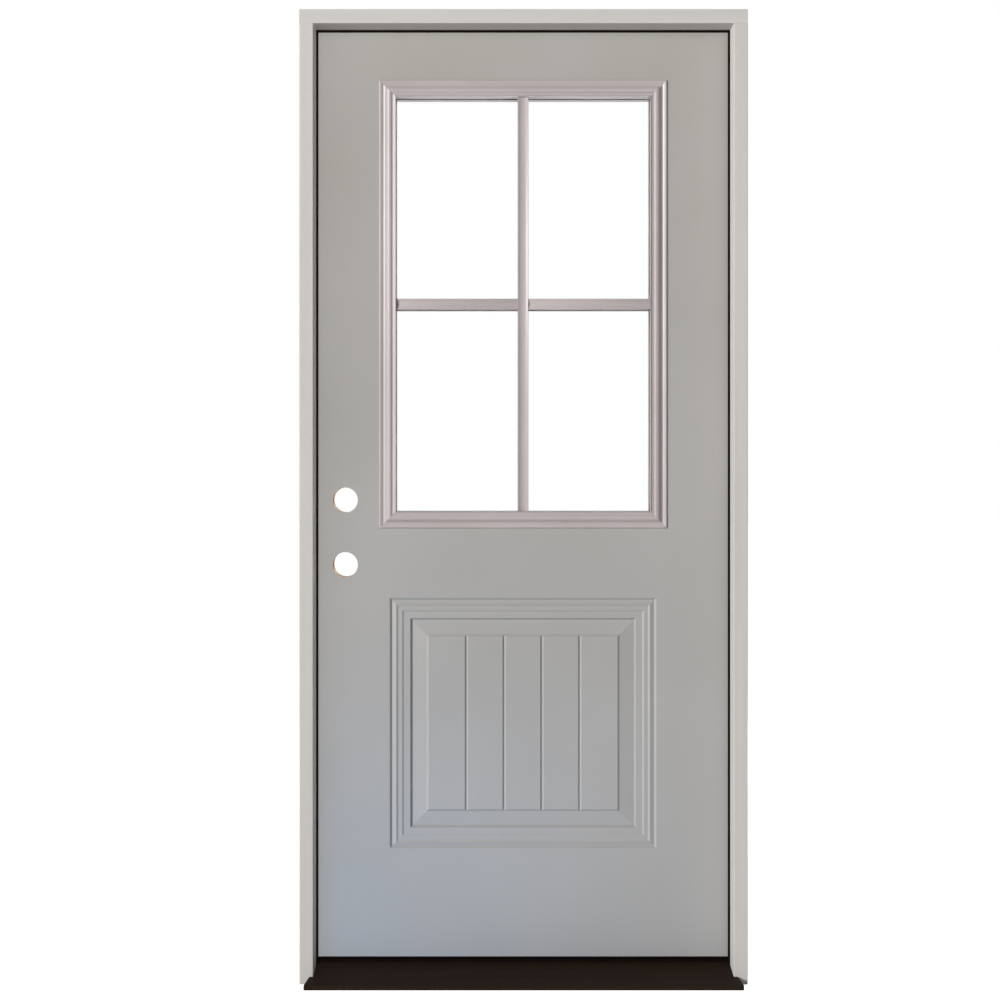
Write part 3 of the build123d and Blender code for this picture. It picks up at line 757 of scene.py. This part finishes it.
# The cap and the base take the near-black finish, which holds painted shade.
eased_copy("sill_base", deck_arris, dark_composite, "dark_composite", "frame")
eased_copy("sill_cap", cap_arris, dark_composite, "dark_composite", "frame")
leaves = []
for hinge in hinges:
    for side, body in (("jamb", "frame"), ("door", "door")):
        leaf = eased_copy(f"{hinge}_hinge_{side}_leaf", leaf_arris, hinge_steel, "hinge_steel", body)
        leaves.append((leaf, body))
    eased_copy(f"{hinge}_hinge_pin", pin_arris, hinge_steel, "hinge_steel", "frame", 3)

# %% [markdown]
# ## Screws and plugs
# Four countersunk screws hold each leaf and show when the door stands open. A screw head starts as a
# short cylinder. Insetting its top twice, a little higher each time, makes a low dome, and two thin
# blocks cut the cross recess. It is modelled once, lying on its back, and copied.

# %% One screw head
head_radius = 0.0042
head_depth = 0.001
head_dome = [(0.0008, 0.0001), (0.0014, 0.0001)]
recess_half_length, recess_half_width, recess_floor = 0.0023, 0.00045, 0.0003


def domed_disc(name, radius, depth, steps):
    """A short cylinder along Z whose top is inset and lifted step by step."""
    let_go()
    bpy.ops.mesh.primitive_cylinder_add(vertices=40, radius=radius, depth=depth,
                                        location=(0, 0, depth / 2))
    disc = bpy.context.object
    disc.name = disc.data.name = name
    bpy.ops.object.transform_apply(location=True, rotation=True, scale=True)
    open_piece(disc)
    pick("FACE", lambda p: p.z > depth / 2)
    for width, lift in steps:
        bpy.ops.mesh.inset(thickness=width, depth=lift)
    let_go()
    return disc


screw_model = domed_disc("screw_model", head_radius, head_depth, head_dome)
for half_x, half_y in ((recess_half_length, recess_half_width), (recess_half_width, recess_half_length)):
    recess = add_block("recess", (-half_x, -half_y, recess_floor), (half_x, half_y, 2 * head_depth))
    cut_away(screw_model, recess)
smooth(screw_model, degrees=30)
print("screw head, faces:", len(screw_model.data.polygons))

# %% [markdown]
# Each leaf is drilled for its screws with a drill a little wider than the heads, so a fine dark ring
# shows round each one. The heads end just below the leaf's face, and no two are turned alike. The
# four screws of a leaf are joined into one object that rides with it.

# %% Screws in the hinge leaves
leaf_gap = 0.005
hole_radius = head_radius + 0.0004
hole_depth = 0.0014
screw_places = [(0.0085, 0.0395, 20), (0.0235, 0.0145, 65), (0.0235, -0.0145, 40), (0.0085, -0.0395, 80)]


def joined(name, pieces):
    """Several objects as one."""
    let_go()
    for piece in pieces:
        piece.select_set(True)
    bpy.context.view_layer.objects.active = pieces[0]
    bpy.ops.object.join()
    pieces[0].name = pieces[0].data.name = name
    return pieces[0]


for leaf, body in leaves:
    leaf_low, leaf_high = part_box(leaf.name.removesuffix("_eased"))
    facing = 1 if body == "door" else -1
    face_x = skin_high.x if body == "door" else skin_high.x + leaf_gap
    screws = []
    for inward, up, turn in screw_places:
        place = Vector((face_x, leaf_low.y + inward, (leaf_low.z + leaf_high.z) / 2 + up))
        let_go()
        bpy.ops.mesh.primitive_cylinder_add(vertices=48, radius=hole_radius, depth=2 * hole_depth,
                                            location=place, rotation=(0, math.radians(90), 0))
        cut_away(leaf, bpy.context.object)
        screw = copy_of(screw_model, "screw")
        place_piece(screw, (0, 0, 0), (0, 0, turn))
        place_piece(screw, place - Vector((facing * hole_depth, 0, 0)), (0, facing * 90, 0))
        screws.append(screw)
    smooth(leaf, degrees=38)
    even_shading(leaf)
    hang(joined(leaf.name.replace("leaf_eased", "screws"), screws), body, "hinge_steel", hinge_steel)
bpy.data.objects.remove(screw_model)

# %% [markdown]
# The inner lite frame is screwed to the outer one through the window, and each screw is hidden under a
# small plastic plug on the frame's round back. The plugs are low domes too.

# %% Plugs on the inner lite frame
plug_line = 0.0226
plug_top = 0.0094
plug_radius, plug_depth = 0.0034, 0.004
plug_dome = [(0.0005, 0.00015), (0.0012, 0.00005)]
plug_height = plug_depth + sum(lift for _, lift in plug_dome)
along_rails, along_sides = (-0.2, 0.0, 0.2), (-0.36, -0.12, 0.12, 0.36)
plug_model = domed_disc("plug_model", plug_radius, plug_depth, plug_dome)
smooth(plug_model, degrees=30)
plug_places = [(x, z) for x in along_rails for z in (lite_low.z + plug_line, lite_high.z - plug_line)]
plug_places += [(x, lite_middle_z + up) for x in (plug_line - lite_high.x, lite_high.x - plug_line)
                for up in along_sides]
plugs = []
for x, z in plug_places:
    plug = copy_of(plug_model, "plug")
    place_piece(plug, (x, slab_back + plug_top - plug_height, z), (-90, 0, 0))
    plugs.append(plug)
hang(joined("inner_lite_plugs", plugs), "door", "lite_plastic", lite_plastic)
bpy.data.objects.remove(plug_model)

# %% [markdown]
# ## Studio
# A pale floor and soft light are all that this picture needs. The world gives only a trace of light,
# but it is plain white to the eye, in mirrors and through glass. The Light Path node tells these rays
# apart, and its count of matt bounces keeps the white out of the light that reaches the door through
# its own glass. The floor does the same with a little glow of its own, so it looks white but still
# takes the shadow of the door.

# %% White surroundings
world = bpy.data.worlds.new("studio_world")
bpy.context.scene.world = world
world.use_nodes = True
world_nodes, world_links = world.node_tree.nodes, world.node_tree.links
sky = world_nodes["Background"]
sky.inputs["Color"].default_value = (1, 1, 1, 1)
ambient = 0.03


def seen_directly(nodes, links):
    """A value of 1 for what the eye sees, also in mirrors and through glass, and 0 for rays of light."""
    path = nodes.new("ShaderNodeLightPath")
    either = nodes.new("ShaderNodeMath")
    either.operation = "MAXIMUM"
    links.new(path.outputs["Is Camera Ray"], either.inputs[0])
    links.new(path.outputs["Is Glossy Ray"], either.inputs[1])
    any_of = nodes.new("ShaderNodeMath")
    any_of.operation = "MAXIMUM"
    links.new(either.outputs["Value"], any_of.inputs[0])
    links.new(path.outputs["Is Transmission Ray"], any_of.inputs[1])
    no_matt_bounce = nodes.new("ShaderNodeMath")
    no_matt_bounce.operation = "LESS_THAN"
    no_matt_bounce.inputs[1].default_value = 0.5
    links.new(path.outputs["Diffuse Depth"], no_matt_bounce.inputs[0])
    seen = nodes.new("ShaderNodeMath")
    seen.operation = "MULTIPLY"
    links.new(any_of.outputs["Value"], seen.inputs[0])
    links.new(no_matt_bounce.outputs["Value"], seen.inputs[1])
    return seen.outputs["Value"]


strength = world_nodes.new("ShaderNodeMapRange")
strength.inputs["To Min"].default_value = ambient
strength.inputs["To Max"].default_value = 1.0
world_links.new(seen_directly(world_nodes, world_links), strength.inputs["Value"])
world_links.new(strength.outputs["Result"], sky.inputs["Strength"])
print("ambient light:", ambient)

# %% Floor
let_go()
floor_size, floor_drop, floor_glow = 60, 0.0005, 0.95
bpy.ops.mesh.primitive_plane_add(size=floor_size, location=(0, 0, cad_box[0].z - floor_drop))
floor = bpy.context.object
floor.name = floor.data.name = "studio_floor"
floor_finish, shader = new_finish("studio_floor_finish", 0.9)
drift(floor_finish, shader, noise_in(floor_finish, 0.7, 2.0),
      (0.86, 0.86, 0.86, 1), (0.88, 0.88, 0.88, 1))
shader.inputs["Emission Color"].default_value = (1, 1, 1, 1)
glow = floor_finish.node_tree.nodes.new("ShaderNodeMath")
glow.operation = "MULTIPLY"
glow.inputs[1].default_value = floor_glow
floor_links = floor_finish.node_tree.links
floor_links.new(seen_directly(floor_finish.node_tree.nodes, floor_links), glow.inputs[0])
floor_links.new(glow.outputs["Value"], shader.inputs["Emission Strength"])
floor.data.materials.append(floor_finish)
print("floor at", round(cad_box[0].z, 4))

# %% [markdown]
# In the photo, what faces left is brighter than what faces right, as on the lite's bars, the panel's
# borders and the reveals, so the key light stands well to the left, and far off, which keeps both
# sides of the door alike. Yet neither the left jamb nor the head throws a shadow on the slab there.
# Light linking can leave pieces out when a lamp's shadows are worked out, so the key light shines
# past those two and their seals, and so does the back light. A weak box at the front right fills in,
# and two boxes behind light the hinge side and the back.
#
# Light linking also lets a lamp light some pieces only. The foot of the slab is bluish in the photo,
# so a small cool box near the floor lights the outer sheet alone. A strip with a narrow beam stands
# below the window and lights the undersides of the lite's top bars. It shines past the panes, because
# a lamp's shadow takes clear glass for a wall.


# %% Lamps
def soft_box(name, place, target, width, height, power, colour):
    """A rectangular area light that faces a target point."""
    data = bpy.data.lights.new(name, "AREA")
    data.shape = "RECTANGLE"
    data.size, data.size_y = width, height
    data.energy = power
    data.color = colour
    lamp = bpy.data.objects.new(name, data)
    lamp.location = place
    lamp.rotation_euler = (Vector(target) - Vector(place)).to_track_quat("-Z", "Y").to_euler()
    lamp.visible_camera = lamp.visible_transmission = False
    bpy.context.scene.collection.objects.link(lamp)
    return lamp


door_middle = (0, 0.06, 1.1)
door_foot = (0, 0.06, 0.35)
warm, cool, plain = (1.0, 0.99, 0.98), (0.04, 0.4, 1.0), (1.0, 1.0, 1.0)
key_box = soft_box("key_box", (-11.9, -10.7, 4.9), door_middle, 3.8, 4.8, 2820, warm)
soft_box("front_box", (1.4, -2.6, 2.4), (0.2, 0.06, 1.4), 1.2, 1.2, 10, plain)
foot_box = soft_box("foot_box", (-0.35, -0.6, 0.06), door_foot, 0.9, 0.1, 1.8, cool)
soft_box("right_box", (4.0, 1.4, 1.6), door_middle, 1.6, 2.4, 42, plain)
back_box = soft_box("back_box", (2.4, 4.0, 2.4), door_middle, 1.6, 2.0, 122, plain)
lip_box = soft_box("lip_box", (0.0, 0.0, 0.9), (0, 0.08, 1.9), 0.5, 0.02, 0.64, plain)
lip_beam_degrees = 70
lip_box.data.spread = math.radians(lip_beam_degrees)

# %% Light linking
frame_left_and_top = ["strike_jamb_eased", "strike_weatherstrip", "head_jamb_eased", "head_weatherstrip"]
for lamp, passed in ((key_box, frame_left_and_top), (back_box, frame_left_and_top),
                     (lip_box, ["outer_pane", "inner_pane"])):
    shadowless = bpy.data.collections.new(f"passed_by_{lamp.name}")
    for piece in passed:
        shadowless.objects.link(bpy.data.objects[piece])
    for item in shadowless.collection_objects:
        item.light_linking.link_state = "EXCLUDE"
    lamp.light_linking.blocker_collection = shadowless
    print(lamp.name, "shines past", passed)
for lamp, lit in ((foot_box, ["outer_pressed_sheet"]),
                  (lip_box, ["outer_top_moulding", "inner_top_moulding", "glass_spacer"])):
    only = bpy.data.collections.new(f"lit_by_{lamp.name}")
    for piece in lit:
        only.objects.link(bpy.data.objects[piece])
    lamp.light_linking.receiver_collection = only
    print(lamp.name, "lights only", lit)
